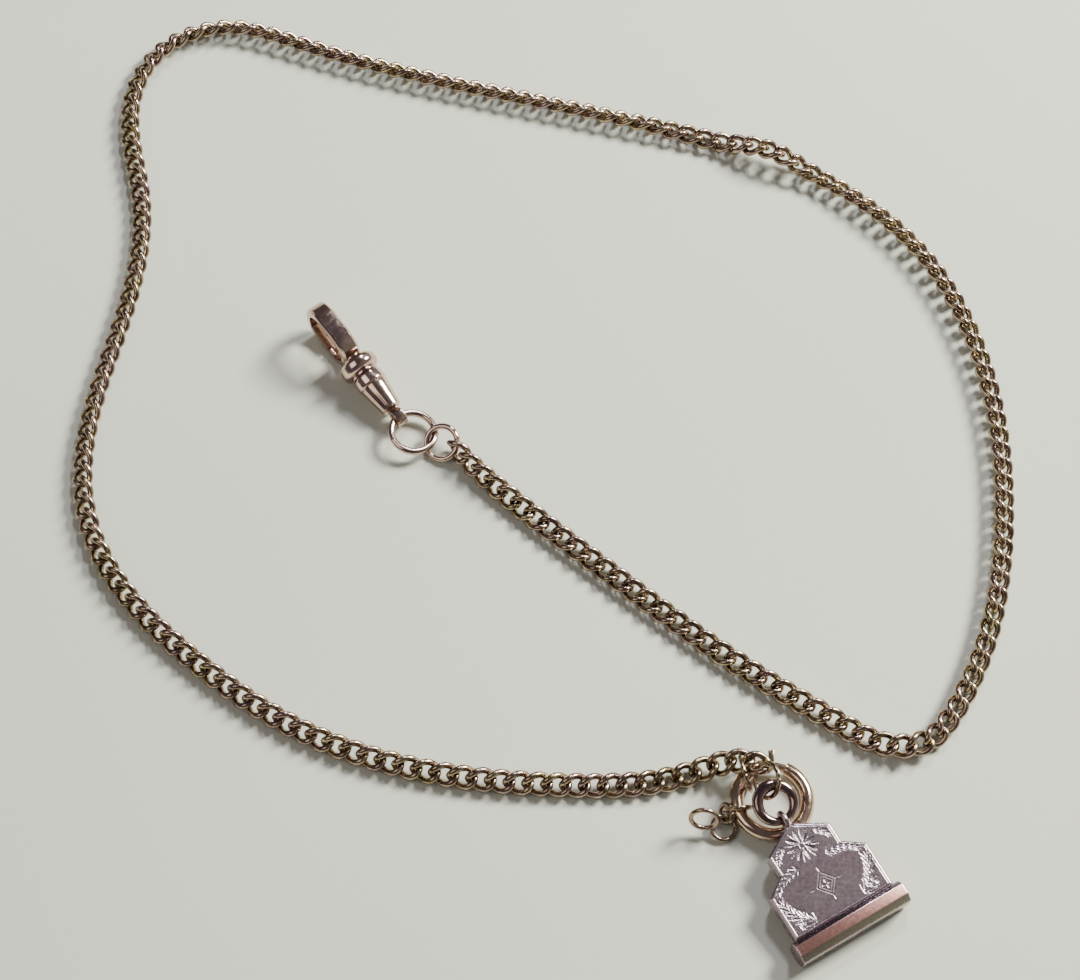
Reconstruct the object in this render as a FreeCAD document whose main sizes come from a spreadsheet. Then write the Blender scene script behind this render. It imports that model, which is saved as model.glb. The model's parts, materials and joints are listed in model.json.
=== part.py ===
"""Pocket watch chain: swivel clip, curb chain, spring-bolt ring and a seal fob, laid out on a table.

Frame: millimetres, +Z up, the table is the plane z = 0, and the origin is the middle of the laid-out
chain's bounding box on the table.  +Y points away from the wearer's side, where the fob lies.
"""
import FreeCAD, Part
import math
import os

Vector = FreeCAD.Vector
Rotation = FreeCAD.Rotation
Placement = FreeCAD.Placement

doc = FreeCAD.newDocument("pocket_watch_chain")

# ---------------------------------------------------------------------------------------------
# Driving dimensions: name, value (mm or degrees), meaning
# ---------------------------------------------------------------------------------------------
DIMENSIONS = [
    ("table_shift_x", 0.248, "from the layout's datum to the middle of the bounding box, along X"),
    ("table_shift_y", 4.5, "the same along Y"),
    # curb chain
    ("link_pitch", 2.2, "length of chain per curb link"),
    ("link_wire", 0.72, "wire diameter of a curb link"),
    ("link_half_length", 1.53, "centre of a link to its wire's middle at the end"),
    ("link_half_width", 1.14, "centre of a link to its wire's middle at the side"),
    ("link_end_twist", 50.0, "twist of each end of a link against its middle"),
    ("link_roundness", 0.9, "exponent of the link's outline: 1 is an ellipse, less is fuller"),
    ("link_count", 190, "curb links in the chain"),
    ("run_count", 14, "runs that the chain is divided into, hinged to each other"),
    # swivel clip
    ("hook_radius", 3.1, "outer radius of the hook's round ends"),
    ("hook_wall", 1.0, "thickness of the hook's band"),
    ("hook_width", 2.4, "width of the hook's band"),
    ("hook_far", -6.8, "centre of the hook's far round end, along the clip"),
    ("hook_near", -4.2, "centre of the hook's near round end, along the clip"),
    ("hook_bevel", 0.3, "bevel along the hook's outer edges"),
    ("hook_bore", 0.65, "radius of the hook's bore for the swivel stem"),
    ("neck_radius", 1.3, "radius of the hook's neck"),
    ("neck_end", -1.05, "end of the neck, where the big collar starts"),
    ("window_far", -8.5, "far end of the hook's gate window"),
    ("window_near", -4.85, "near end of the gate window"),
    ("slot_end", -3.85, "end of the slot that the gate's tongue turns in"),
    ("slot_width", 1.5, "width of that slot"),
    ("gate_play", 0.1, "gap between the gate's tip and the hook"),
    ("gate_back", -5.1, "near end of the gate's full width"),
    ("tongue_width", 1.3, "width of the gate's tongue"),
    ("tongue_radius", 0.45, "radius of the tongue's boss around the pin"),
    ("pivot_along", -4.4, "gate pivot, along the clip"),
    ("pivot_height", -2.6, "gate pivot, below the clip's axis"),
    ("pivot_bore", 0.31, "radius of the pin's bore in the hook's cheeks"),
    ("gate_bore", 0.34, "radius of the gate's bore"),
    ("pin_radius", 0.3, "radius of the gate pin"),
    ("leaf_length", 1.8, "length of the gate's leaf spring"),
    ("leaf_width", 0.9, "width of the leaf spring"),
    ("leaf_thick", 0.15, "thickness of the leaf spring"),
    ("stud_radius", 0.28, "radius of the leaf spring's stud"),
    ("stud_height", 0.2, "height of the stud above the gate"),
    ("collar_radius", 2.5, "radius of the clip's big collar"),
    ("collar_length", 2.1, "length of the big collar"),
    ("collar_round", 0.9, "rounding of the big collar's edges"),
    ("washer_radius", 1.75, "radius of the washer beside the collar"),
    ("washer_length", 0.35, "thickness of the washer"),
    ("swivel_gap", 0.1, "gap between the washer and the swivel"),
    ("swivel_radius", 1.95, "radius of the swivel's collar"),
    ("swivel_length", 1.7, "length of the swivel's collar"),
    ("swivel_round", 0.4, "rounding of the swivel collar's edges"),
    ("barrel_radius", 1.85, "radius of the barrel at the swivel collar"),
    ("barrel_end_radius", 1.3, "radius of the barrel at the eye"),
    ("barrel_length", 3.7, "length of the barrel"),
    ("stem_radius", 0.55, "radius of the swivel stem"),
    ("stem_bore", 0.57, "radius of the stem's bore in the collar and barrel"),
    ("stem_head_radius", 0.95, "radius of the stem's head inside the hook"),
    ("stem_head_length", 0.65, "length of the stem's head"),
    ("stem_start", -2.45, "underside of the stem's head, along the clip"),
    ("stem_end", 5.0, "end of the stem inside the barrel"),
    ("eye_along", 8.3, "centre of the clip's eye, along the clip"),
    ("eye_radius", 1.12, "radius of the eye's barrel"),
    ("eye_bore", 0.72, "radius of the eye's hole"),
    ("eye_width", 1.4, "width of the eye across the clip"),
    ("eye_plate_thick", 1.0, "thickness of the plate between barrel and eye"),
    # jump rings
    ("large_jump_radius", 2.75, "large jump ring, to the wire's middle"),
    ("large_jump_wire", 0.76, "wire diameter of the large jump ring"),
    ("small_jump_radius", 2.06, "small jump ring, to the wire's middle"),
    ("small_jump_wire", 0.64, "wire diameter of the small jump ring"),
    ("ring_cut", 3.0, "angle of the cut where a jump ring was opened"),
    # rings at the fob's end
    ("end_ring_radius", 2.05, "end ring, to the wire's middle"),
    ("end_ring_wire", 0.55, "wire diameter of the end ring"),
    ("bolt_link_radius", 2.05, "link that holds the bolt ring, to the wire's middle"),
    ("bolt_link_wire", 0.48, "wire diameter of that link and of the drop chain"),
    ("drop_link_radius", 1.55, "first and last drop link, to the wire's middle"),
    ("drop_small_radius", 1.1, "second drop link, to the wire's middle"),
    ("drop_ring_radius", 1.4, "drop ring, to the wire's middle"),
    # spring-bolt ring
    ("bolt_ring_radius", 4.15, "bolt ring, to the tube's middle"),
    ("bolt_ring_tube", 0.85, "outer radius of the bolt ring's tube"),
    ("bolt_ring_bore", 0.58, "radius of the tube's bore"),
    ("tube_start", 92.0, "angle where the tube starts, seen from above"),
    ("tube_sweep", 334.0, "angle that the tube covers"),
    ("chamber_end", 265.0, "angle where the spring chamber ends"),
    ("socket_start", 55.0, "angle where the socket for the bolt's tip ends"),
    ("bolt_radius", 0.5, "radius of the bolt"),
    ("bolt_start", 60.0, "angle of the bolt's tip when shut"),
    ("bolt_sweep", 90.0, "angle that the bolt covers"),
    ("thumb_angle", 89.0, "angle of the thumb piece when shut"),
    ("thumb_inner", 4.64, "inner end of the thumb piece, from the ring's centre"),
    ("thumb_outer", 6.1, "outer end of the thumb piece"),
    ("thumb_width", 0.7, "width of the thumb piece along the ring"),
    ("thumb_thick", 0.36, "thickness of the thumb piece"),
    ("thumb_slot_sweep", 34.0, "angle of the thumb piece's slot in the tube"),
    ("thumb_slot_height", 0.5, "height of that slot"),
    ("spring_radius", 0.38, "coil radius of the bolt's spring, to the wire's middle"),
    ("spring_wire", 0.16, "wire diameter of the bolt's spring"),
    ("spring_start", 190.0, "angle where the spring starts"),
    ("spring_end", 262.0, "angle where the spring ends"),
    ("spring_turns", 12, "turns of the bolt's spring"),
    # fob
    ("bail_radius", 2.15, "fob bail, to the horn's middle"),
    ("bail_thick", 1.45, "diameter of the horn away from the fob"),
    ("bail_thin", 0.9, "diameter of the horn at the fob"),
    ("loop_radius", 0.95, "fob's neck loop, to the wire's middle"),
    ("loop_wire", 0.6, "wire diameter of the neck loop"),
    ("loop_reach", 12.75, "neck loop's centre above the fob's foot line"),
    ("fob_top", 11.75, "top of the plates above the foot line"),
    ("fob_neck_half", 0.6, "half the width of the plates at the top"),
    ("fob_shoulder_half", 4.2, "half the width at the shoulder"),
    ("fob_shoulder_top", 9.75, "upper end of the shoulder"),
    ("fob_shoulder_foot", 7.25, "lower end of the shoulder"),
    ("fob_body_half", 6.6, "half the width of the body"),
    ("fob_body_top", 5.6, "upper corner of the body"),
    ("plate_thick", 0.4, "thickness of the front and back plates"),
    ("band_height", 1.0, "height of the side band between the plates"),
    ("band_wall", 0.6, "wall of the side band"),
    ("bar_half", 7.3, "half the length of the base bar"),
]


class Size:
    """A number together with the spreadsheet formula that gives it."""

    def __init__(self, value, formula):
        self.value = float(value)
        self.formula = formula

    def _join(self, sign, other, value):
        text = other.formula if isinstance(other, Size) else repr(float(other))
        return Size(value, "(%s %s %s)" % (self.formula, sign, text))

    def __add__(self, other):
        return self._join("+", other, self.value + float(other))

    def __sub__(self, other):
        return self._join("-", other, self.value - float(other))

    def __mul__(self, other):
        return self._join("*", other, self.value * float(other))

    def __truediv__(self, other):
        return self._join("/", other, self.value / float(other))

    def __neg__(self):
        return Size(-self.value, "(0 - %s)" % self.formula)

    def __float__(self):
        return self.value


sheet = doc.addObject("Spreadsheet::Sheet", "Sizes")
size = {}
for row, (alias, value, meaning) in enumerate(DIMENSIONS, start=1):
    sheet.set("A%d" % row, alias)
    sheet.set("B%d" % row, str(value))
    sheet.setAlias("B%d" % row, alias)
    sheet.set("C%d" % row, meaning)
    size[alias] = Size(value, "Sizes." + alias)
doc.recompute()


def number(alias):
    return float(size[alias])


# ---------------------------------------------------------------------------------------------
# Layout of the chain on the table
# ---------------------------------------------------------------------------------------------
# The line that the chain lies along, from the clip to the fob, as the few points its shape needs.
ROUTE = [
    (-10.82, 5.41), (-5.0, -0.6), (1.2, -5.8), (13.2, -15.6), (24.9, -24.6), (35.2, -31.3),
    (39.35, -33.72), (41.59, -34.49), (44.02, -34.35), (46.18, -33.3), (47.79, -31.5), (51.4, -25.4),
    (54.1, -18.5),
    (56.6, -5.0), (56.9, 7.0), (54.5, 21.2), (48.2, 34.3), (39.0, 43.1), (30.2, 48.1), (23.6, 50.4),
    (4.0, 55.7), (-14.6, 60.4), (-32.0, 66.0), (-42.5, 68.6), (-50.4, 64.9), (-54.0, 55.0),
    (-51.7, 41.5), (-52.6, 25.0), (-56.2, 7.5), (-55.2, -5.0), (-51.2, -13.0), (-40.6, -23.9),
    (-28.2, -32.3), (-12.8, -37.5), (2.3, -39.1), (16.3, -38.0), (21.4, -36.7), (24.0, -36.8), (27.2, -39.0),
]
# Roll of the links about the chain's line: distance along the line, degrees.
ROLL_STATIONS = [(0, 66), (20, 8), (35, 6), (58, 24), (80, 40), (150, 40), (160, 22), (172, 6), (186, 38),
                 (390, 42), (406, 12), (420, 6)]
# Where the chain is lifted off the table: distance along the line, lift, half-length of the bump.
LIFTS = [(166.0, 1.6, 7.0), (67.5, 0.7, 4.5), (417.5, 2.9, 11.5), (0.0, 0.1, 8.0)]


def between_stations(stations, distance):
    """Smooth step from one station's value to the next."""
    if distance <= stations[0][0]:
        return stations[0][1]
    for (start, low), (end, high) in zip(stations, stations[1:]):
        if distance <= end:
            part = (distance - start) / (end - start)
            return low + (high - low) * part * part * (3 - 2 * part)
    return stations[-1][1]


def lift_at(distance):
    total = 0.0
    for centre, height, half_length in LIFTS:
        gap = abs(distance - centre) / half_length
        if gap < 1:
            total += height * (1 - gap * gap) ** 2
    return total


def link_centreline(turn):
    """Point of the curb link's centreline: a full oval, twisted about its length (X)."""
    along = number("link_half_length") * math.cos(turn)
    across = number("link_half_width") * math.copysign(abs(math.sin(turn)) ** number("link_roundness"),
                                                       math.sin(turn))
    twist = -math.radians(number("link_end_twist")) * along / number("link_half_length")
    return Vector(along, across * math.cos(twist), across * math.sin(twist))


def link_half_height(roll_degrees):
    """Half the height of a link that is rolled about its length."""
    roll = math.radians(roll_degrees)
    top = 0.0
    for step in range(72):
        point = link_centreline(math.radians(5 * step))
        top = max(top, point.y * math.sin(roll) + point.z * math.cos(roll))
    return top + number("link_wire") / 2


class Route:
    """The chain's line, with the links laid along it as equal chords."""

    def __init__(self):
        shift = Vector(number("table_shift_x"), number("table_shift_y"), 0)
        points = [Vector(x, y, 0) - shift for x, y in ROUTE]
        self.curve = Part.BSplineCurve()
        self.curve.interpolate(points)
        pitch = number("link_pitch")
        self.joints = [self.point(0.0)]
        self.distances = [0.0]
        while len(self.joints) <= number("link_count"):
            low = self.distances[-1]
            high = low + 1.3 * pitch
            for halving in range(40):
                middle = (low + high) / 2
                if self.point(middle).distanceToPoint(self.joints[-1]) < pitch:
                    low = middle
                else:
                    high = middle
            self.distances.append(high)
            self.joints.append(self.point(high))

    def point(self, distance):
        flat = self.curve.value(distance) if distance <= self.curve.LastParameter else self.beyond(distance)
        height = link_half_height(between_stations(ROLL_STATIONS, distance)) + lift_at(distance)
        return Vector(flat.x, flat.y, height)

    def beyond(self, distance):
        end = self.curve.value(self.curve.LastParameter)
        heading = self.curve.tangent(self.curve.LastParameter)[0]
        return end + heading * (distance - self.curve.LastParameter)

    def link_pose(self, index):
        start, end = self.joints[index], self.joints[index + 1]
        roll = between_stations(ROLL_STATIONS, (self.distances[index] + self.distances[index + 1]) / 2)
        ahead = (end - start).normalize()
        side = Vector(0, 0, 1).cross(ahead).normalize()
        level = Rotation(ahead, side, ahead.cross(side), "XYZ")
        return Placement((start + end) * 0.5, level * Rotation(Vector(1, 0, 0), roll))


route = Route()


# ---------------------------------------------------------------------------------------------
# Building blocks
# ---------------------------------------------------------------------------------------------
ALONG_X = Rotation(Vector(0, 1, 0), 90)
ALONG_Y = Rotation(Vector(1, 0, 0), -90)
subparts = []


def add(kind, name, placement, **sizes):
    """A document object whose sizes follow the sheet."""
    item = doc.addObject(kind, name)
    for prop, value in sizes.items():
        if isinstance(value, Size):
            item.setExpression(prop, value.formula)
        setattr(item, prop, float(value))
    item.Placement = placement
    return item


def cylinder(name, placement, radius, length, **sector):
    return add("Part::Cylinder", name, placement, Radius=radius, Height=length, **sector)


def box(name, low, high):
    """Box between two corners, each a triple of sizes or numbers."""
    corner = Vector(*[float(value) for value in low])
    spans = [end - start for start, end in zip(low, high)]
    place = Placement(corner, Rotation())
    return add("Part::Box", name, place, Length=spans[0], Width=spans[1], Height=spans[2])


def torus(name, radius, tube, start=0.0, sweep=360.0):
    turn = Placement(Vector(), Rotation(Vector(0, 0, 1), float(start)))
    return add("Part::Torus", name, turn, Radius1=radius, Radius2=tube, Angle3=sweep)


def combine(kind, name, items):
    item = doc.addObject(kind, name)
    if kind == "Part::Cut":
        item.Base, item.Tool = items
    else:
        item.Shapes = items
    item.Refine = True
    return item


def cut(name, base, tool):
    return combine("Part::Cut", name, (base, tool))


def fuse(name, *items):
    return combine("Part::MultiFuse", name, list(items))


def common(name, *items):
    return combine("Part::MultiCommon", name, list(items))


def soften(kind, name, base, reach, wanted):
    """Chamfer or fillet the edges of base that wanted() picks."""
    doc.recompute()
    item = doc.addObject(kind, name)
    item.Base = base
    picked = [index for index, edge in enumerate(base.Shape.Edges, start=1) if wanted(edge)]
    item.Edges = [(index, reach, reach) for index in picked]
    return item


def subpart(item, name, pose):
    """Make item the sub-part called name, moved from its own frame to its pose."""
    doc.recompute()
    item.Label = name
    item.Placement = pose * item.Placement
    subparts.append(item)
    return item


def shape_object(name, shape):
    item = doc.addObject("Part::Feature", name)
    item.Shape = shape
    return item


def on_table(x, y, z):
    return Vector(x - number("table_shift_x"), y - number("table_shift_y"), z)


def facing(centre, normal):
    """Pose of a ring from its centre and its axis."""
    return Placement(on_table(*centre), Rotation(Vector(0, 0, 1), Vector(*normal)))


# ---------------------------------------------------------------------------------------------
# Smooth wires from pairs of arcs
# ---------------------------------------------------------------------------------------------
def arc_between(start, heading, end):
    chord = end - start
    outward = chord.cross(heading).cross(chord).normalize()
    half_angle = chord.getAngle(heading) / 2
    middle = (start + end) * 0.5 + outward * (chord.Length / 2 * math.tan(half_angle))
    return Part.Arc(start, middle, end).toShape()


def arc_pair(start, heading, end, end_heading):
    """Two arcs that join two points with the given headings."""
    chord = end - start
    both = heading + end_heading
    square = 2 * (1 - heading.dot(end_heading))
    linear = 2 * chord.dot(both)
    reach = (-linear + math.sqrt(linear * linear + 4 * chord.dot(chord) * square)) / (2 * square)
    leave = start + heading * reach
    arrive = end - end_heading * reach
    middle = (leave + arrive) * 0.5
    return [arc_between(start, heading, middle), arc_between(middle, (arrive - leave).normalize(), end)]


def swept_wire(centreline, turns, diameter):
    """Round wire along centreline(turn), as arcs between the given turns."""
    step = 1e-4
    points = [centreline(turn) for turn in turns]
    headings = [(centreline(turn + step) - centreline(turn - step)).normalize() for turn in turns]
    arcs = []
    for index in range(len(turns) - 1):
        arcs += arc_pair(points[index], headings[index], points[index + 1], headings[index + 1])
    disc = Part.Face(Part.Wire(Part.makeCircle(diameter / 2, points[0], headings[0])))
    return Part.Wire(arcs).makePipe(disc)


def link_solid():
    """Closed curb link, joined from its two halves."""
    eighths = [math.radians(45 * step) for step in range(9)]
    wire = number("link_wire")
    return swept_wire(link_centreline, eighths[:5], wire).fuse(swept_wire(link_centreline, eighths[4:], wire))


# ---------------------------------------------------------------------------------------------
# Swivel clip: hook, gate, collars, stem, barrel and eye
# ---------------------------------------------------------------------------------------------
# The clip's own frame: X along its axis towards the chain, Z up through the hook's loop.
CLIP = Placement(on_table(-22.6, 15.85, 2.64),
                 Rotation(Vector(0, 0, 1), -52.5) * Rotation(Vector(0, 1, 0), 6.64))


def across_clip(name, along, height, radius, width):
    """Cylinder across the clip, centred on its middle plane."""
    place = Placement(Vector(float(along), -float(width) / 2, float(height)), ALONG_Y)
    return cylinder(name, place, radius, width)


def along_clip(name, start, radius, length):
    return cylinder(name, Placement(Vector(float(start), 0, 0), ALONG_X), radius, length)


def stadium(name, radius, width):
    """Solid with two round ends, standing on edge along the clip."""
    far, near = size["hook_far"], size["hook_near"]
    ends = [across_clip(name + "_far", far, 0, radius, width),
            across_clip(name + "_near", near, 0, radius, width)]
    half = width / 2
    middle = box(name + "_middle", (far, -half, -radius), (near, half, radius))
    return fuse(name, middle, *ends)


def hook_band(name):
    """The hook's band: a flat ring with bevelled outer edges."""
    outside = stadium(name + "_outside", size["hook_radius"], size["hook_width"])
    half = number("hook_width") / 2

    def on_a_face(edge):
        return abs(abs(edge.CenterOfMass.y) - half) < 1e-3

    bevelled = soften("Part::Chamfer", name + "_bevelled", outside, number("hook_bevel"), on_a_face)
    inside = stadium(name + "_inside", size["hook_radius"] - size["hook_wall"], size["hook_width"] * 2)
    return cut(name, bevelled, inside)


def build_hook():
    below = (size["hook_wall"] - size["hook_radius"]) * 0.58
    deep = -(size["hook_radius"] * 1.2)
    wide = size["hook_width"]
    window = box("hook_window", (size["window_far"], -wide, deep), (size["window_near"], wide, below))
    half_slot = size["slot_width"] / 2
    slot = box("hook_slot", (size["window_near"] - 0.5, -half_slot, deep),
               (size["slot_end"], half_slot, below))
    bore = along_clip("hook_stem_bore", -2.4, size["hook_bore"], 1.6)
    pin_bore = across_clip("hook_pin_bore", size["pivot_along"], size["pivot_height"],
                           size["pivot_bore"], wide * 2)
    neck = along_clip("hook_neck", size["neck_end"] - 0.95, size["neck_radius"], 0.95)
    whole = fuse("hook_whole", hook_band("hook_band"), neck)
    return cut("hook", whole, fuse("hook_openings", window, slot, bore, pin_bore))


def build_gate():
    low, high = -size["hook_radius"], (size["hook_wall"] - size["hook_radius"]) * 0.58
    wide = size["hook_width"]
    tip = size["window_far"] + size["gate_play"]
    blade = common("gate_blade", hook_band("gate_band"),
                   box("gate_blade_reach", (tip, -wide, low * 1.2), (size["gate_back"], wide, high)))
    half_tongue = size["tongue_width"] / 2
    tongue = common("gate_tongue", hook_band("gate_tongue_band"),
                    box("gate_tongue_reach", (size["gate_back"] - 0.3, -half_tongue, low * 1.2),
                        (size["pivot_along"], half_tongue, high)))
    boss = across_clip("gate_boss", size["pivot_along"], size["pivot_height"], size["tongue_radius"],
                       size["tongue_width"])
    bore = across_clip("gate_pin_bore", size["pivot_along"], size["pivot_height"], size["gate_bore"], wide)
    return cut("gate", fuse("gate_whole", blade, tongue, boss), bore)


def ring_with_bore(name, start, radius, length, bore, rounding):
    body = along_clip(name + "_body", start, radius, length)

    def round_edge(edge):
        return edge.Curve.TypeId == "Part::GeomCircle"

    softened = body
    if rounding:
        softened = soften("Part::Fillet", name + "_rounded", body, float(rounding), round_edge)
    return cut(name, softened, along_clip(name + "_bore", start - 0.5, bore, length + 1))


def build_clip():
    subpart(build_hook(), "hook_frame", CLIP)
    subpart(build_gate(), "gate_lever", CLIP)
    pin = across_clip("pin", size["pivot_along"], size["pivot_height"], size["pin_radius"],
                      size["hook_width"])
    subpart(pin, "gate_pin", CLIP)
    inner = size["hook_wall"] - size["hook_radius"]
    leaf_end = size["pivot_along"] - 0.2
    half_leaf = size["leaf_width"] / 2
    leaf = box("leaf", (leaf_end - size["leaf_length"], -half_leaf, inner),
               (leaf_end, half_leaf, inner + size["leaf_thick"]))
    subpart(leaf, "gate_spring", CLIP)
    stud_place = Placement(Vector(number("hook_far") - 0.05, 0, float(inner)), Rotation())
    subpart(cylinder("stud", stud_place, size["stud_radius"], size["stud_height"]), "gate_stud", CLIP)
    collar_start = size["neck_end"]
    collar = ring_with_bore("collar", collar_start, size["collar_radius"], size["collar_length"],
                            size["hook_bore"], size["collar_round"])
    subpart(collar, "hook_collar", CLIP)
    washer_start = collar_start + size["collar_length"]
    washer = ring_with_bore("washer", washer_start, size["washer_radius"], size["washer_length"],
                            size["hook_bore"], None)
    subpart(washer, "hook_washer", CLIP)
    swivel_start = washer_start + size["washer_length"] + size["swivel_gap"]
    swivel = ring_with_bore("swivel", swivel_start, size["swivel_radius"], size["swivel_length"],
                            size["stem_bore"], size["swivel_round"])
    subpart(swivel, "swivel_collar", CLIP)
    barrel_start = swivel_start + size["swivel_length"]
    taper = add("Part::Cone", "barrel_taper", Placement(Vector(float(barrel_start), 0, 0), ALONG_X),
                Radius1=size["barrel_radius"], Radius2=size["barrel_end_radius"],
                Height=size["barrel_length"])
    hollow = along_clip("barrel_bore", barrel_start - 0.5, size["stem_bore"],
                        size["stem_end"] - barrel_start + 0.55)
    subpart(cut("barrel", taper, hollow), "swivel_barrel", CLIP)
    barrel_end = barrel_start + size["barrel_length"]
    half_eye, half_plate = size["eye_width"] / 2, size["eye_plate_thick"] / 2
    plate = box("eye_plate", (barrel_end, -half_eye, -half_plate), (size["eye_along"], half_eye, half_plate))
    knuckle = across_clip("eye_knuckle", size["eye_along"], 0, size["eye_radius"], size["eye_width"])
    hole = across_clip("eye_hole", size["eye_along"], 0, size["eye_bore"], size["eye_width"] * 2)
    subpart(cut("eye", fuse("eye_whole", plate, knuckle), hole), "swivel_eye", CLIP)
    stem = fuse("stem", along_clip("stem_shank", size["stem_start"], size["stem_radius"],
                                   size["stem_end"] - size["stem_start"]),
                along_clip("stem_head", size["stem_start"] - size["stem_head_length"], size["stem_head_radius"],
                           size["stem_head_length"]))
    subpart(stem, "swivel_stem", CLIP)


# ---------------------------------------------------------------------------------------------
# Plain rings
# ---------------------------------------------------------------------------------------------
# Each ring's node, radius, wire, and its centre and axis in the layout.
RINGS = [
    ("jump_ring_large", "large_jump_radius", "large_jump_wire", (-15.712, 7.296, 1.44), (0.161, 0.032, 0.986)),
    ("jump_ring_small", "small_jump_radius", "small_jump_wire", (-12.160, 5.878, 1.352), (-0.316, -0.378, 0.870)),
    ("end_ring", "end_ring_radius", "end_ring_wire", (26.313, -39.400, 3.646), (-0.801, -0.224, 0.555)),
    ("bolt_ring_link", "bolt_link_radius", "bolt_link_wire", (23.930, -38.122, 2.285), (-0.949, -0.252, -0.189)),
    ("drop_link_1", "drop_link_radius", "bolt_link_wire", (22.919, -42.193, 1.745), (-0.103, 0.957, 0.270)),
    ("drop_link_2", "drop_small_radius", "bolt_link_wire", (21.634, -42.604, 1.225), (-0.821, -0.292, 0.491)),
    ("drop_ring", "drop_ring_radius", "bolt_link_wire", (21.311, -44.170, 0.614), (0.157, -0.186, 0.970)),
    ("drop_end_ring", "drop_link_radius", "bolt_link_wire", (18.953, -43.790, 2.629), (0.118, 0.929, -0.350)),
]


def build_rings():
    for name, radius, wire, centre, normal in RINGS:
        ring = torus(name + "_wire", size[radius], size[wire] / 2, 0.0, -size["ring_cut"] + 360)
        subpart(ring, name, facing(centre, normal))


# ---------------------------------------------------------------------------------------------
# Curb chain: runs of links that are hinged to each other at a link joint
# ---------------------------------------------------------------------------------------------
def run_links(run):
    """First and last link of a run."""
    links, runs = int(number("link_count")), int(number("run_count"))
    return round(run * links / runs), round((run + 1) * links / runs) - 1


def build_chain():
    link = link_solid()
    for run in range(int(number("run_count"))):
        first, last = run_links(run)
        middle = route.link_pose((first + last) // 2)
        links = []
        for index in range(first, last + 1):
            copy = link.copy()
            copy.Placement = middle.inverse() * route.link_pose(index)
            links.append(copy)
        item = shape_object("run_%02d" % (run + 1), Part.makeCompound(links))
        subpart(item, "chain_run_%02d" % (run + 1), middle)


# ---------------------------------------------------------------------------------------------
# Spring-bolt ring: tube, bolt, thumb piece and spring
# ---------------------------------------------------------------------------------------------
BOLT_RING = Placement(on_table(26.97, -40.915, 1.17),
                      Rotation(Vector(0, 0, 1), Vector(0.061, -0.0427, 0.9972)))


def build_bolt_ring():
    radius = size["bolt_ring_radius"]
    tube = torus("tube_outside", radius, size["bolt_ring_tube"], size["tube_start"], size["tube_sweep"])
    chamber = torus("tube_chamber", radius, size["bolt_ring_bore"], size["tube_start"] - 7,
                    size["chamber_end"] - size["tube_start"] + 7)
    tube_end = size["tube_start"] + size["tube_sweep"] - 360
    socket = torus("tube_socket", radius, size["bolt_ring_bore"], size["socket_start"],
                   tube_end - size["socket_start"] + 4)
    turn = Rotation(Vector(0, 0, 1), number("tube_start") - 3)
    low = Placement(Vector(0, 0, -number("thumb_slot_height") / 2), turn)
    sweep = size["thumb_slot_sweep"] + 3
    slot = cut("tube_slot", cylinder("slot_outer", low, radius + 1.2, size["thumb_slot_height"], Angle=sweep),
               cylinder("slot_inner", low, radius + 0.3, size["thumb_slot_height"], Angle=sweep))
    openings = fuse("tube_openings", chamber, socket, slot)
    subpart(cut("tube", tube, openings), "bolt_ring_tube", BOLT_RING)
    bolt = torus("bolt", radius, size["bolt_radius"], size["bolt_start"], size["bolt_sweep"])
    subpart(bolt, "bolt_ring_bolt", BOLT_RING)
    half_width, half_thick = size["thumb_width"] / 2, size["thumb_thick"] / 2
    thumb = box("thumb", (size["thumb_inner"], -half_width, -half_thick),
                (size["thumb_outer"], half_width, half_thick))
    thumb_turn = Placement(Vector(), Rotation(Vector(0, 0, 1), number("thumb_angle")))
    subpart(thumb, "bolt_ring_thumb_piece", BOLT_RING * thumb_turn)
    subpart(shape_object("spring", spring_shape()), "bolt_ring_spring", BOLT_RING)


def spring_shape():
    """Coil that winds around the ring's centreline."""
    start, end = math.radians(number("spring_start")), math.radians(number("spring_end"))
    turns = number("spring_turns")

    def centreline(winding):
        angle = start + (end - start) * winding / (2 * math.pi * turns)
        reach = number("bolt_ring_radius") + number("spring_radius") * math.cos(winding)
        height = number("spring_radius") * math.sin(winding)
        return Vector(reach * math.cos(angle), reach * math.sin(angle), height)

    quarters = [math.pi / 2 * step for step in range(int(4 * turns) + 1)]
    return swept_wire(centreline, quarters, number("spring_wire"))


# ---------------------------------------------------------------------------------------------
# Fob: bail, neck loop, two plates, side band and base bar
# ---------------------------------------------------------------------------------------------
# The fob's own frame: X across, Y from the foot line to the neck, Z up out of the front.
FOB = Placement(on_table(34.6, -54.86, 0.914),
                Rotation(Vector(0, 0, 1), 30.9) * Rotation(Vector(1, 0, 0), 4.8))
# Section of the base bar: along Y and Z.
BAR_SECTION = [(0, 0), (0, 1.8), (-0.55, 2.6), (-1.9, 2.6),
               (-2.7, 2.0), (-2.7, -0.2), (-1.9, -0.75), (-0.55, -0.75)]
# Direction from the neck loop to the bail's far side, and the bail's axis before it is squared to that.
BAIL_REACH = Vector(-0.42, 0.87, 0.26).normalize()
BAIL_FACE = Vector(0.203, -0.339, 0.919)


def prism(name, points, height, placement):
    """Straight solid over a closed outline in the XY plane."""
    outline = doc.addObject("Part::Polygon", name + "_outline")
    outline.Nodes = [Vector(x, y, 0) for x, y in points]
    outline.Close = True
    solid = doc.addObject("Part::Extrusion", name)
    solid.Base = outline
    solid.DirMode = "Custom"
    solid.Dir = Vector(0, 0, 1)
    solid.LengthFwd = float(height)
    solid.setExpression("LengthFwd", height.formula)
    solid.Solid = True
    solid.Placement = placement
    return solid


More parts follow.
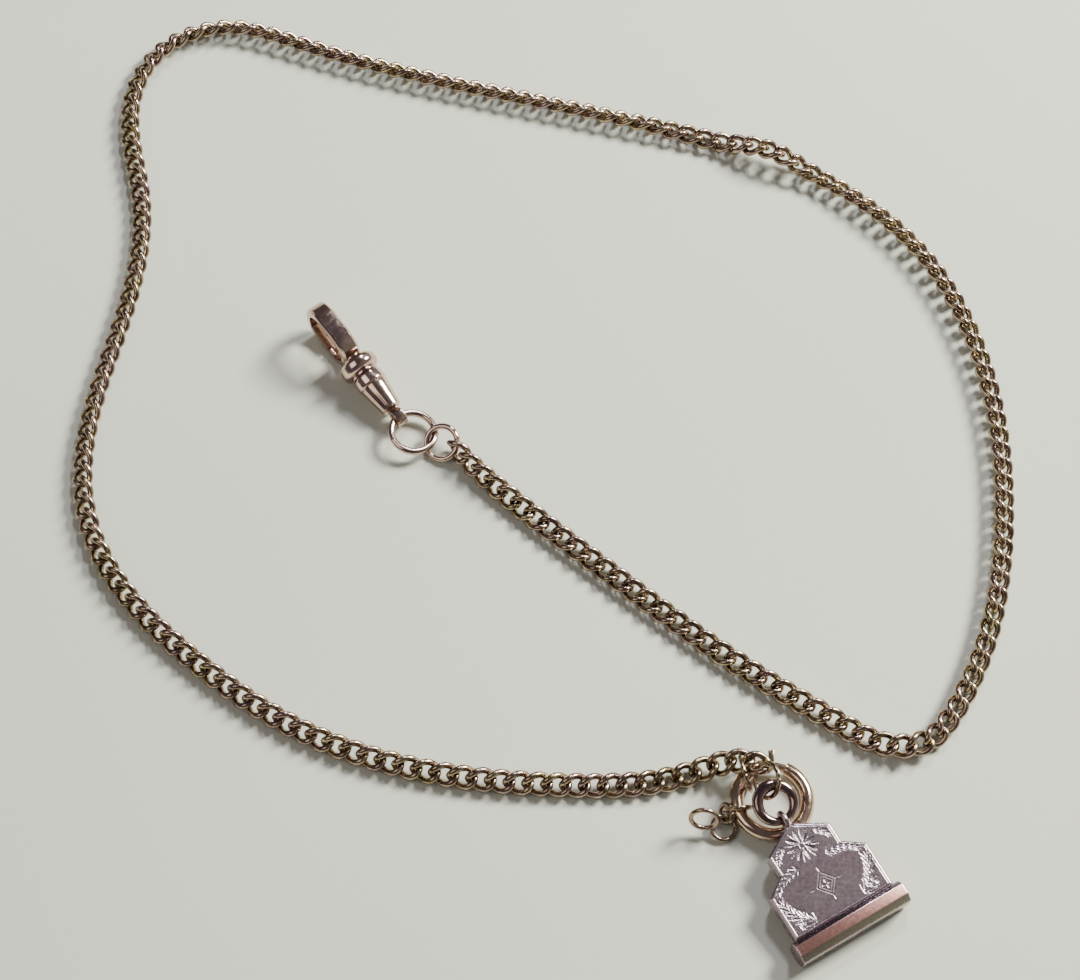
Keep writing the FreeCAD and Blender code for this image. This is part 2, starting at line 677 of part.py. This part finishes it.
def inset(points, distance):
    """Outline moved inwards by a distance; the points run anticlockwise."""
    moved = []
    for index, (x, y) in enumerate(points):
        before = Vector(x - points[index - 1][0], y - points[index - 1][1], 0).normalize()
        following = points[(index + 1) % len(points)]
        after = Vector(following[0] - x, following[1] - y, 0).normalize()
        inward = Vector(-before.y - after.y, before.x + after.x, 0)
        reach = distance / (1 + before.dot(after))
        moved.append((x + inward.x * reach, y + inward.y * reach))
    return moved


def fob_outline():
    right = [("fob_body_half", None), ("fob_body_half", "fob_body_top"), ("fob_shoulder_half", "fob_shoulder_foot"),
             ("fob_shoulder_half", "fob_shoulder_top"), ("fob_neck_half", "fob_top")]
    points = [(number(half), number(top) if top else 0.0) for half, top in right]
    return points + [(-x, y) for x, y in reversed(points)]


def at_height(height):
    return Placement(Vector(0, 0, float(height)), Rotation())


def bail_shape():
    """Horn ring: thin at X = +radius, where it passes through the neck loop, and thick on the far side."""
    radius, thin, thick = number("bail_radius"), number("bail_thin") / 2, number("bail_thick") / 2
    sections = []
    for step in range(8):
        angle = math.pi / 4 * step
        out = Vector(math.cos(angle), math.sin(angle), 0)
        along = Vector(-out.y, out.x, 0)
        swell = thin + (thick - thin) * abs(math.sin(angle / 2))
        sections.append(Part.Wire(Part.makeCircle(swell, out * radius, along)))
    return Part.makeLoft(sections, True, False, True)


def build_fob():
    outline = fob_outline()
    plate, band = size["plate_thick"], size["band_height"]
    subpart(prism("back", outline, plate, at_height(0)), "fob_back_plate", FOB)
    subpart(prism("front", outline, plate, at_height(plate + band)), "fob_front_plate", FOB)
    inner = inset(outline, number("band_wall"))
    hollow = cut("side", prism("side_outside", outline, band, at_height(plate)),
                 prism("side_inside", inner, band, at_height(plate)))
    subpart(hollow, "fob_side_band", FOB)
    half_bar = size["bar_half"]
    upright = Rotation(Vector(0, 1, 0), Vector(0, 0, 1), Vector(1, 0, 0), "XYZ")
    bar = prism("bar", BAR_SECTION, half_bar * 2, Placement(Vector(-float(half_bar), 0, 0), upright))
    subpart(bar, "fob_base_bar", FOB)
    middle = plate + band / 2
    reach = size["loop_reach"]
    loop = add("Part::Torus", "loop_wire_ring", Placement(Vector(0, float(reach), float(middle)), ALONG_X),
               Radius1=size["loop_radius"], Radius2=size["loop_wire"] / 2)
    top = size["fob_top"]
    foot = box("loop_foot", (-0.45, top - 0.4, middle - 0.7), (0.45, top + 0.3, middle + 0.7))
    below = box("loop_below", (-3, top - 3, -3), (3, top, 6))
    subpart(cut("loop", fuse("loop_whole", loop, foot), below), "fob_neck_loop", FOB)
    neck = FOB.multVec(Vector(0, float(reach), float(middle)))
    centre = neck + BAIL_REACH * number("bail_radius")
    square = Rotation(BAIL_REACH * -1, Vector(), BAIL_FACE, "XZY")
    subpart(shape_object("bail", bail_shape()), "fob_bail", Placement(centre, square))


build_clip()
build_rings()
build_chain()
build_bolt_ring()
build_fob()
doc.recompute()

# ---------------------------------------------------------------------------------------------
# Checks and export
# ---------------------------------------------------------------------------------------------
for item in doc.Objects:
    if "Invalid" in item.State or "Error" in item.State:
        raise RuntimeError("%s (%s) did not build: %s" % (item.Label, item.Name, item.State))
for item in subparts:
    if item.Shape.isNull() or not item.Shape.isValid():
        raise RuntimeError("%s has no valid shape" % item.Label)

os.makedirs("parts", exist_ok=True)
for item in subparts:
    item.Shape.exportStep("parts/%s.step" % item.Label)
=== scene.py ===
"""Pocket watch chain: finishes, the engraved fob face, the table, the light and the camera."""
import json
import math

import bmesh
import bpy
import numpy as np
from mathutils import Matrix, Vector


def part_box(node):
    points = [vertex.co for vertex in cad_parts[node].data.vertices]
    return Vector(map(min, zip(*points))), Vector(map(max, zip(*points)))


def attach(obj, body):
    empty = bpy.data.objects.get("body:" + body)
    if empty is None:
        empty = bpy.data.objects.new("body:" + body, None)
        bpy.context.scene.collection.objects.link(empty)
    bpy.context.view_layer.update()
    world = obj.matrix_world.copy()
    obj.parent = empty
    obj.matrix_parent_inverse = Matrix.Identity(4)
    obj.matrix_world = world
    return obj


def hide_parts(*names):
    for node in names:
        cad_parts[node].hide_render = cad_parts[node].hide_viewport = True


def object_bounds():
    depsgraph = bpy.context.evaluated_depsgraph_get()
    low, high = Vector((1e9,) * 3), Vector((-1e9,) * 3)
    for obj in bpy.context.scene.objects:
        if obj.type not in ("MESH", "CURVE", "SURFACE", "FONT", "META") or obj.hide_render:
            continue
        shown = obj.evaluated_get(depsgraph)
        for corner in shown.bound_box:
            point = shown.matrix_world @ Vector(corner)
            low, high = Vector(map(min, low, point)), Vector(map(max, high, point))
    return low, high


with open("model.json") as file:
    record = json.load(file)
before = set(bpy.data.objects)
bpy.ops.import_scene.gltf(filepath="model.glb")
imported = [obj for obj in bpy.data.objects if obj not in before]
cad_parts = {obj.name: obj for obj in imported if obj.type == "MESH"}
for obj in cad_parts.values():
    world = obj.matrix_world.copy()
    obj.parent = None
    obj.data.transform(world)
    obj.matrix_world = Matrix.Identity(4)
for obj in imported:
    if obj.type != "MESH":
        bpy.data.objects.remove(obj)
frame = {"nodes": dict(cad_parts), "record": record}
MM = 0.001


def plain_box():
    return [[float(value) for value in corner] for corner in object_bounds()]


cad_box = plain_box()


# ---------------------------------------------------------------------------------------------
# Materials
# ---------------------------------------------------------------------------------------------
NOISE_SPAN = (0.3, 0.7)


class Nodes:
    """Small helper that adds shader nodes and links them."""

    def __init__(self, name):
        self.material = bpy.data.materials.new(name)
        self.material.use_nodes = True
        self.tree = self.material.node_tree
        self.shader = self.tree.nodes["Principled BSDF"]
        self.place = self.add("ShaderNodeTexCoord").outputs["Object"]

    def add(self, kind):
        return self.tree.nodes.new(kind)

    def link(self, source, target):
        self.tree.links.new(source, target)

    def noise(self, per_mm, detail, roughness=0.55, stretch=None):
        """Noise with about per_mm blotches to a millimetre; a low number in stretch draws them out."""
        node = self.add("ShaderNodeTexNoise")
        node.inputs["Scale"].default_value = per_mm / MM
        node.inputs["Detail"].default_value = detail
        node.inputs["Roughness"].default_value = roughness
        source = self.place
        if stretch:
            mapping = self.add("ShaderNodeMapping")
            mapping.inputs["Scale"].default_value = stretch
            self.link(self.place, mapping.inputs["Vector"])
            source = mapping.outputs["Vector"]
        self.link(source, node.inputs["Vector"])
        return node.outputs["Fac"]

    def ramp(self, source, stops):
        """Colours by position along a source, given as (position, colour)."""
        node = self.add("ShaderNodeValToRGB")
        ramp = node.color_ramp
        while len(ramp.elements) < len(stops):
            ramp.elements.new(0.5)
        for element, (position, colour) in zip(ramp.elements, stops):
            element.position = position
            element.color = (*colour, 1.0)
        self.link(source, node.inputs["Fac"])
        return node.outputs["Color"]

    def mix(self, share, source, colour):
        """The source's colour with a share of a plain colour mixed in."""
        node = self.add("ShaderNodeMix")
        node.data_type = "RGBA"
        self.link(share, node.inputs["Factor"])
        self.link(source, node.inputs["A"])
        node.inputs["B"].default_value = (*colour, 1.0)
        return node.outputs["Result"]

    def between(self, noise, low, high):
        """A noise's usual span of values spread over low to high."""
        node = self.add("ShaderNodeMapRange")
        node.inputs["From Min"].default_value = NOISE_SPAN[0]
        node.inputs["From Max"].default_value = NOISE_SPAN[1]
        node.inputs["To Min"].default_value = low
        node.inputs["To Max"].default_value = high
        self.link(noise, node.inputs["Value"])
        return node.outputs["Result"]

    def bump(self, height, depth_mm, strength):
        node = self.add("ShaderNodeBump")
        node.inputs["Distance"].default_value = depth_mm * MM
        node.inputs["Strength"].default_value = strength
        self.link(height, node.inputs["Height"])
        self.link(node.outputs["Normal"], self.shader.inputs["Normal"])


def worn_metal(name, bright, tarnish, tint, tint_share, gloss, blotch_per_mm=0.9):
    """Plated metal: rubbed bright patches, tarnish between them, a faint tint and fine scratches.

    gloss is the lowest and the highest roughness.
    """
    nodes = Nodes(name)
    nodes.shader.inputs["Metallic"].default_value = 1.0
    patches = nodes.noise(blotch_per_mm, detail=4.0, roughness=0.6)
    halfway = tuple((dark + light) / 2 for dark, light in zip(tarnish, bright))
    base = nodes.ramp(patches, [(0.36, tarnish), (0.52, halfway), (0.66, bright)])
    tint_patches = nodes.between(nodes.noise(0.23, detail=2.0), 0.0, tint_share)
    nodes.link(nodes.mix(tint_patches, base, tint), nodes.shader.inputs["Base Color"])
    rough = nodes.between(nodes.noise(2.6, detail=5.0, roughness=0.65), *gloss)
    nodes.link(rough, nodes.shader.inputs["Roughness"])
    scratches = nodes.noise(9.0, detail=2.0, stretch=(1.0, 0.12, 0.6))
    nodes.bump(scratches, 0.006, 0.5)
    return nodes.material


FINISHES = {
    "chain_gold": worn_metal("chain_gold", (0.50, 0.41, 0.23), (0.17, 0.125, 0.075), (0.36, 0.22, 0.26), 0.45,
                             (0.14, 0.32)),
    "clip_metal": worn_metal("clip_metal", (0.78, 0.58, 0.53), (0.40, 0.28, 0.27), (0.74, 0.60, 0.34), 0.4,
                             (0.08, 0.22), 0.4),
    "ring_gold": worn_metal("ring_gold", (0.80, 0.66, 0.42), (0.50, 0.38, 0.24), (0.74, 0.47, 0.46), 0.5,
                            (0.08, 0.22), 0.5),
    "bail_metal": worn_metal("bail_metal", (0.46, 0.34, 0.28), (0.16, 0.105, 0.085), (0.36, 0.23, 0.26), 0.5,
                             (0.08, 0.2), 0.5),
    "fob_metal": worn_metal("fob_metal", (0.47, 0.39, 0.405), (0.38, 0.305, 0.32), (0.40, 0.29, 0.33), 0.5,
                            (0.24, 0.30), 0.35),
    "spring_steel": worn_metal("spring_steel", (0.62, 0.62, 0.63), (0.40, 0.40, 0.41), (0.5, 0.46, 0.4), 0.3,
                               (0.2, 0.35)),
}

SLOT_OF = {part["node"]: part["material_slot"] for part in frame["record"]["subparts"]}
BODY_OF = {node: body for body, nodes in frame["record"]["behaviour"]["bodies"].items() for node in nodes}


# ---------------------------------------------------------------------------------------------
# CAD nodes: finishes, and softened copies of the pieces with edges
# ---------------------------------------------------------------------------------------------
def stand_for(piece, node):
    """Put piece in the place of a CAD node, on its body and in its finish."""
    bpy.context.collection.objects.link(piece)
    piece.data.materials.clear()
    piece.data.materials.append(FINISHES[SLOT_OF[node]])
    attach(piece, BODY_OF[node])
    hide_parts(node)


WELD_DISTANCE = 1e-7
FLAT_WITHIN = math.radians(0.8)
ROUNDED_FROM = math.radians(28)
SMOOTH_UP_TO = math.radians(34)


def polished_copy(node, edge_mm, thicker_mm):
    """Copy of a CAD node: sharp edges rounded, round faces shaded smooth, the skin a little out."""
    mesh = frame["nodes"][node].data.copy()
    mesh.name = node + "_polished"
    form = bmesh.new()
    form.from_mesh(mesh)
    bmesh.ops.remove_doubles(form, verts=form.verts, dist=WELD_DISTANCE)
    if edge_mm:
        bmesh.ops.dissolve_limit(form, angle_limit=FLAT_WITHIN, verts=form.verts, edges=form.edges)
        sharp = [edge for edge in form.edges
                 if len(edge.link_faces) == 2 and edge.calc_face_angle() > ROUNDED_FROM]
        bmesh.ops.bevel(form, geom=sharp, offset=edge_mm * MM, segments=3, profile=0.5, affect="EDGES",
                        clamp_overlap=True)
    if thicker_mm:
        form.normal_update()
        for vertex in form.verts:
            vertex.co += vertex.normal * thicker_mm * MM
    form.to_mesh(mesh)
    form.free()
    for face in mesh.polygons:
        face.use_smooth = True
    mesh.set_sharp_from_angle(angle=SMOOTH_UP_TO)
    stand_for(bpy.data.objects.new(node + "_polished", mesh), node)


SKIN_MM = {
    "jump_ring_large": 0.06, "jump_ring_small": 0.06, "end_ring": 0.02, "bolt_ring_link": 0.02,
    "drop_link_1": 0.02, "drop_link_2": 0.03, "drop_ring": 0.03, "drop_end_ring": 0.05,
}
CHAIN_SKIN_MM = 0.03
EDGES_MM = {
    "hook_frame": 0.07, "gate_lever": 0.05, "gate_pin": 0.05, "hook_washer": 0.08, "swivel_barrel": 0.1,
    "swivel_eye": 0.12, "bolt_ring_thumb_piece": 0.08, "bolt_ring_tube": 0.06, "fob_back_plate": 0.06,
    "fob_side_band": 0.03, "fob_base_bar": 0.14, "fob_neck_loop": 0.05,
}
ENGRAVED = "fob_front_plate"


def finish_nodes():
    """Every CAD node but the engraved plate gets its finish on a softened copy."""
    for node in SLOT_OF:
        if node != ENGRAVED:
            skin = CHAIN_SKIN_MM if node.startswith("chain_run") else SKIN_MM.get(node, 0)
            polished_copy(node, EDGES_MM.get(node, 0), skin)


# ---------------------------------------------------------------------------------------------
# Engraved front plate of the fob
# ---------------------------------------------------------------------------------------------
# The fob's frame starts this far above the middle of the seal face, and this far behind it (mm).
FOOT_LINE, SEAL_HEIGHT = 2.7, 0.9
# Back and front of the plate, and its right-hand outline as (half width, height), in that frame (mm).
PLATE_LOW, PLATE_HIGH = 1.4, 1.8
PLATE_OUTLINE = [(6.6, 0.0), (6.6, 5.6), (4.2, 7.25), (4.2, 9.75), (0.6, 11.75)]
# A cut's deepest point (mm), the slope of its sides, and the depth (mm) from which a cut has its full painted
# highlight.
CUT_DEPTH, CUT_SLOPE, CUT_HIGHLIGHT_FULL_DEPTH = 0.16, 0.75, 0.06
# Width of the rounded rim and how far the face falls at its edge (mm).
RIM, RIM_FALL = 0.28, 0.16
PLATE_COLUMNS, PLATE_ROW_STEP = 250, 0.065
PLATE_SMOOTH_UP_TO = math.radians(50)


def fob_pose():
    """The fob's own frame: X across, Y from the foot line to the neck, Z out of the front."""
    seal = frame["record"]["mounts"][0]
    up = -Vector(seal["axis"]).normalized()
    out = (middle_of("fob_front_plate") - middle_of("fob_back_plate")).normalized()
    foot = Vector(seal["pos_m"]) + (up * FOOT_LINE - out * SEAL_HEIGHT) * MM
    pose = Matrix((up.cross(out), up, out)).transposed().to_4x4()
    pose.translation = foot
    return pose


def middle_of(node):
    low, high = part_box(node)
    return (low + high) / 2


def half_width(height):
    """Half the plate's width at a height above the foot line."""
    for (wide, low), (narrow, high) in zip(PLATE_OUTLINE, PLATE_OUTLINE[1:]):
        if height <= high:
            return wide + (narrow - wide) * (height - low) / (high - low)
    return PLATE_OUTLINE[-1][0]


def line(start, end, width, steps=1):
    """Straight cut, widest in the middle, as short segments (x, y, x, y, half width)."""
    cuts = []
    for step in range(steps):
        a, b = step / steps, (step + 1) / steps
        swell = math.sin(math.pi * (a + b) / 2) if steps > 1 else 1.0
        point = [start[axis] + (end[axis] - start[axis]) * part for part in (a, b) for axis in (0, 1)]
        cuts.append((*point, width * (0.35 + 0.65 * swell)))
    return cuts


def from_polar(centre, radius, angle):
    return centre[0] + radius * math.cos(angle), centre[1] + radius * math.sin(angle)


def rosette(centre, petals, inner, outer):
    """Flower of scooped petals around a ring, with a short ray between each pair."""
    cuts = []
    for petal in range(petals):
        middle = 2 * math.pi * petal / petals + math.pi / 2
        cuts += line(from_polar(centre, inner * 1.5, middle), from_polar(centre, outer, middle), 0.27, 5)
        between = middle + math.pi / petals
        ray_tip = from_polar(centre, outer * 1.12, between)
        cuts += line(from_polar(centre, inner * 2.4, between), ray_tip, 0.09, 3)
        ring_end = from_polar(centre, inner, middle + 2 * math.pi / petals)
        cuts += line(from_polar(centre, inner, middle), ring_end, 0.07)
    return cuts


def spray(root, tip, bow, leaves, leaf_length):
    """Fern spray: a bowed stem with long slanting leaves on both sides, shorter towards the tip."""
    along = Vector(tip) - Vector(root)
    across = Vector((-along.y, along.x)) * bow
    points = [Vector(root) + along * part + across * 4 * part * (1 - part)
              for part in [step / leaves for step in range(leaves + 1)]]
    cuts = []
    for index, (here, following) in enumerate(zip(points, points[1:])):
        cuts += line(here, following, 0.055)
        heading = math.atan2((following - here).y, (following - here).x)
        reach = leaf_length * (1 - 0.5 * index / leaves)
        for side in (-1, 1):
            cuts += line(here, from_polar(here, reach, heading + side * 0.5), 0.12, 4)
            cuts += line(here, from_polar(here, reach * 0.62, heading + side * 0.95), 0.09, 3)
    return cuts


def diamond(centre, wide, high, width):
    x, y = centre
    corners = [(x + wide, y), (x, y + high), (x - wide, y), (x, y - high)]
    cuts = []
    for index, corner in enumerate(corners):
        cuts += line(corner, corners[index - 1], width)
    return cuts


def centre_ornament(centre):
    """Plain ornament: a diamond inside a diamond, with a small four-petalled flower and four rays."""
    cuts = diamond(centre, 1.25, 1.5, 0.06) + diamond(centre, 0.85, 1.05, 0.05)
    for quarter in range(4):
        angle = quarter * math.pi / 2
        cuts += line(from_polar(centre, 0.12, angle), from_polar(centre, 0.55, angle), 0.13, 4)
        ray_root = from_polar(centre, 1.45 + 0.2 * (quarter % 2), angle)
        cuts += line(ray_root, from_polar(centre, 2.1, angle), 0.07, 3)
    return cuts


def border(side):
    """Fine line inside the rim, up one side."""
    corners = [(6.18, 0.4), (6.18, 5.4), (3.8, 7.05), (3.8, 9.55), (0.3, 11.45)]
    points = [(side * across, up) for across, up in corners]
    return [piece for start, end in zip(points, points[1:]) for piece in line(start, end, 0.05)]


def engraving():
    """All the cuts on the plate: rosette above, ornament in the middle, sprays and border round it."""
    cuts = rosette((0.0, 9.1), 8, 0.34, 1.75) + centre_ornament((0.0, 3.9))
    for side in (-1, 1):
        cuts += spray((side * 2.2, 9.9), (side * 3.5, 8.3), 0.1 * side, 3, 0.8)
        cuts += spray((side * 1.9, 6.9), (side * 5.7, 5.3), 0.12 * side, 6, 1.15)
        cuts += spray((side * 3.2, 0.7), (side * 5.75, 4.9), -0.14 * side, 6, 1.9)
        cuts += spray((side * 5.2, 0.7), (side * 4.3, 2.4), 0.1 * side, 3, 1.0)
        cuts += border(side)
    return cuts + line((-6.18, 0.4), (6.18, 0.4), 0.05)


def engraved_plate():
    """Plate over a grid of rows across the outline, with rounded rims and V-shaped cuts."""
    columns = PLATE_COLUMNS
    even_rows = range(int(PLATE_OUTLINE[-1][1] / PLATE_ROW_STEP) + 1)
    heights = sorted({point[1] for point in PLATE_OUTLINE} | {row * PLATE_ROW_STEP for row in even_rows})
    shares = np.linspace(-1, 1, columns + 1)
    wide = np.array([half_width(height) for height in heights])
    x = wide[:, None] * shares[None, :]
    y = np.repeat(np.array(heights)[:, None], columns + 1, axis=1)
    edge = y
    corners = PLATE_OUTLINE + [(-PLATE_OUTLINE[-1][0], PLATE_OUTLINE[-1][1])]
    for start, end in zip(corners, corners[1:]):
        edge = np.minimum(edge, distance_to(np.abs(x), y, start, end))
    depth = np.zeros_like(x)
    for x0, y0, x1, y1, width in engraving():
        depth = np.maximum(depth, CUT_SLOPE * (width - distance_to(x, y, (x0, y0), (x1, y1))))
    depth = np.minimum(depth, CUT_DEPTH)
    fall = np.clip(1 - edge / RIM, 0, 1) ** 2 * RIM_FALL
    z = PLATE_HIGH - fall - depth
    rows, row = len(heights), columns + 1
    top = [(x[i, j], y[i, j], z[i, j]) for i in range(rows) for j in range(row)]
    faces = []
    for i in range(rows - 1):
        for j in range(columns):
            corner = i * row + j
            faces.append((corner, corner + 1, corner + row + 1, corner + row))
    rim = list(range(row))
    rim += [i * row + columns for i in range(1, rows)]
    rim += [(rows - 1) * row + j for j in range(columns - 1, -1, -1)]
    rim += [i * row for i in range(rows - 2, 0, -1)]
    first = len(top)
    foot = [(top[index][0], top[index][1], PLATE_LOW) for index in rim]
    count = len(rim)
    skirt = [(rim[k], first + k, first + (k + 1) % count, rim[(k + 1) % count]) for k in range(count)]
    under = [tuple(range(first + count - 1, first - 1, -1))]
    mesh = bpy.data.meshes.new("engraved_plate")
    mesh.from_pydata([Vector(point) * MM for point in top + foot], [], faces + skirt + under)
    mesh.transform(fob_pose())
    # Painted highlight: share of the paler cut colour at each point, rising with the cut's depth.
    cut = mesh.attributes.new("cut", "FLOAT", "POINT")
    share = np.clip(depth.ravel() / CUT_HIGHLIGHT_FULL_DEPTH, 0, 1)
    cut.data.foreach_set("value", np.concatenate([share, np.zeros(count)]).astype(np.float32))
    for face in mesh.polygons:
        face.use_smooth = True
    mesh.set_sharp_from_angle(angle=PLATE_SMOOTH_UP_TO)
    plate = bpy.data.objects.new("engraved_plate", mesh)
    stand_for(plate, ENGRAVED)
    plate.data.materials[0] = painted_highlight_cut_metal()


def distance_to(x, y, start, end):
    """Distance from grid points to a segment."""
    dx, dy = end[0] - start[0], end[1] - start[1]
    share = np.clip(((x - start[0]) * dx + (y - start[1]) * dy) / max(dx * dx + dy * dy, 1e-9), 0, 1)
    return np.hypot(x - start[0] - share * dx, y - start[1] - share * dy)


def tint_by(attribute, material, colour):
    """Mix a colour into a metal, by the share that a mesh attribute holds."""
    tree = material.node_tree
    shader = tree.nodes["Principled BSDF"]
    share = tree.nodes.new("ShaderNodeAttribute")
    share.attribute_name = attribute
    mix = tree.nodes.new("ShaderNodeMix")
    mix.data_type = "RGBA"
    tree.links.new(share.outputs["Fac"], mix.inputs["Factor"])
    tree.links.new(shader.inputs["Base Color"].links[0].from_socket, mix.inputs["A"])
    mix.inputs["B"].default_value = (*colour, 1.0)
    tree.links.new(mix.outputs["Result"], shader.inputs["Base Color"])


# Paler colour painted into the engraved cuts as their highlight.
CUT_PAINTED_HIGHLIGHT = (0.54, 0.47, 0.50)


def painted_highlight_cut_metal():
    """The fob's metal, with a painted highlight in the engraved cuts: they are coloured paler than the worn
    face.
    """
    material = FINISHES["fob_metal"].copy()
    material.name = "fob_metal_engraved_painted_highlight"
    tint_by("cut", material, CUT_PAINTED_HIGHLIGHT)
    return material


# Painted light and shade on the facets of the base bar: name, the way it faces as (up, out) in the fob's
# frame, and colour; the rose and olive facets are painted reflection, the dark one painted shade.
BAR_FACET_PAINTED_LIGHT = (
    ("rose", (0.0, 1.0), (0.80, 0.43, 0.36)),
    ("olive", (-0.6, 0.8), (0.46, 0.41, 0.31)),
    ("dark", (0.82, 0.57), (0.10, 0.085, 0.105)),
)
# A face starts to take a facet's painted light where the cosine of the angle between them passes the first
# number below, and has it in full the second number further on.
PAINTED_LIGHT_FROM, PAINTED_LIGHT_FADE = 0.9, 0.08


def paint_light_on_base_bar():
    """Paint light and shade onto each long facet of the base bar by the way it faces: painted reflection and
    painted shade.
    """
    mesh = bpy.data.objects["fob_base_bar_polished"].data
    material = FINISHES["fob_metal"].copy()
    material.name = "fob_metal_painted_facet_light"
    up, out = fob_pose().col[1].to_3d(), fob_pose().col[2].to_3d()
    for name, (rise, front), colour in BAR_FACET_PAINTED_LIGHT:
        towards = (up * rise + out * front).normalized()
        share = mesh.attributes.new(name, "FLOAT", "FACE")
        for face in mesh.polygons:
            facing = (face.normal.dot(towards) - PAINTED_LIGHT_FROM) / PAINTED_LIGHT_FADE
            share.data[face.index].value = min(1.0, max(0.0, facing))
        tint_by(name, material, colour)
    mesh.materials[0] = material


finish_nodes()
engraved_plate()
paint_light_on_base_bar()


# ---------------------------------------------------------------------------------------------
# Table, light and camera
# ---------------------------------------------------------------------------------------------
def paper():
    nodes = Nodes("table_paper")
    stops = [(0.3, (0.60, 0.625, 0.525)), (0.7, (0.645, 0.665, 0.565))]
    tone = nodes.ramp(nodes.noise(0.006, detail=2.0), stops)
    nodes.link(tone, nodes.shader.inputs["Base Color"])
    nodes.shader.inputs["Roughness"].default_value = 0.85
    nodes.bump(nodes.noise(1.2, detail=5.0), 0.02, 0.25)
    return nodes.material


TABLE_HALF = 1.5


def table():
    """Paper-covered table top under the lowest point of the CAD."""
    mesh = bpy.data.meshes.new("table")
    half = TABLE_HALF
    corners = [(-half, -half, 0), (half, -half, 0), (half, half, 0), (-half, half, 0)]
    mesh.from_pydata(corners, [], [(0, 1, 2, 3)])
    floor = bpy.data.objects.new("table", mesh)
    bpy.context.collection.objects.link(floor)
    floor.location.z = cad_box[0][2]
    mesh.materials.append(paper())


def aim(item, target):
    item.rotation_euler = (Vector(target) - item.location).to_track_quat("-Z", "Y").to_euler()


def panel_light(name, place, target, size, power, colour):
    data = bpy.data.lights.new(name, "AREA")
    data.shape = "RECTANGLE"
    data.size, data.size_y = size
    data.energy = power
    data.color = colour
    lamp = bpy.data.objects.new(name, data)
    bpy.context.collection.objects.link(lamp)
    lamp.location = place
    aim(lamp, target)


# The room's colours, at a position from its far left (0) to its far right (1), and its brightness.
ROOM_STOPS = ((0.25, (0.19, 0.17, 0.20)), (0.95, (0.60, 0.60, 0.55)))
ROOM_STRENGTH = 0.55


def room():
    """Dim room, lighter towards the window on the right."""
    world = bpy.data.worlds.new("room")
    bpy.context.scene.world = world
    world.use_nodes = True
    tree = world.node_tree
    place = tree.nodes.new("ShaderNodeTexCoord")
    part = tree.nodes.new("ShaderNodeSeparateXYZ")
    tree.links.new(place.outputs["Generated"], part.inputs["Vector"])
    ramp = tree.nodes.new("ShaderNodeValToRGB")
    for element, (position, colour) in zip(ramp.color_ramp.elements, ROOM_STOPS):
        element.position = position
        element.color = (*colour, 1.0)
    tree.links.new(part.outputs["X"], ramp.inputs["Fac"])
    background = tree.nodes["Background"]
    tree.links.new(ramp.outputs["Color"], background.inputs["Color"])
    background.inputs["Strength"].default_value = ROOM_STRENGTH


def light_the_scene():
    room()
    panel_light("window", (0.46, 0.30, 0.42), (0, 0, 0), (0.20, 0.20), 12.5, (1.0, 0.985, 0.92))
    panel_light("lamp", (0.10, 0.42, 0.50), (0, 0, 0), (0.10, 0.10), 2.2, (0.92, 0.90, 1.0))
    panel_light("fill", (-0.45, -0.2, 0.7), (0, 0, 0), (0.5, 0.5), 1.4, (1.0, 0.92, 0.86))


CAMERA_ELEVATION = math.radians(63.4)
CAMERA_DISTANCE = 0.345
CAMERA_LENS = 93.3
SENSOR_WIDTH = 36.0
LOOK_AT = Vector((-0.248 * MM, -4.5 * MM, 0.0))


def add_camera():
    data = bpy.data.cameras.new("camera")
    data.lens = CAMERA_LENS
    data.sensor_width = SENSOR_WIDTH
    data.clip_start = 0.01
    camera = bpy.data.objects.new("camera", data)
    bpy.context.collection.objects.link(camera)
    back = Vector((0, -math.cos(CAMERA_ELEVATION), math.sin(CAMERA_ELEVATION)))
    camera.location = LOOK_AT + CAMERA_DISTANCE * back
    aim(camera, LOOK_AT)
    bpy.context.scene.camera = camera


table()
light_the_scene()
add_camera()
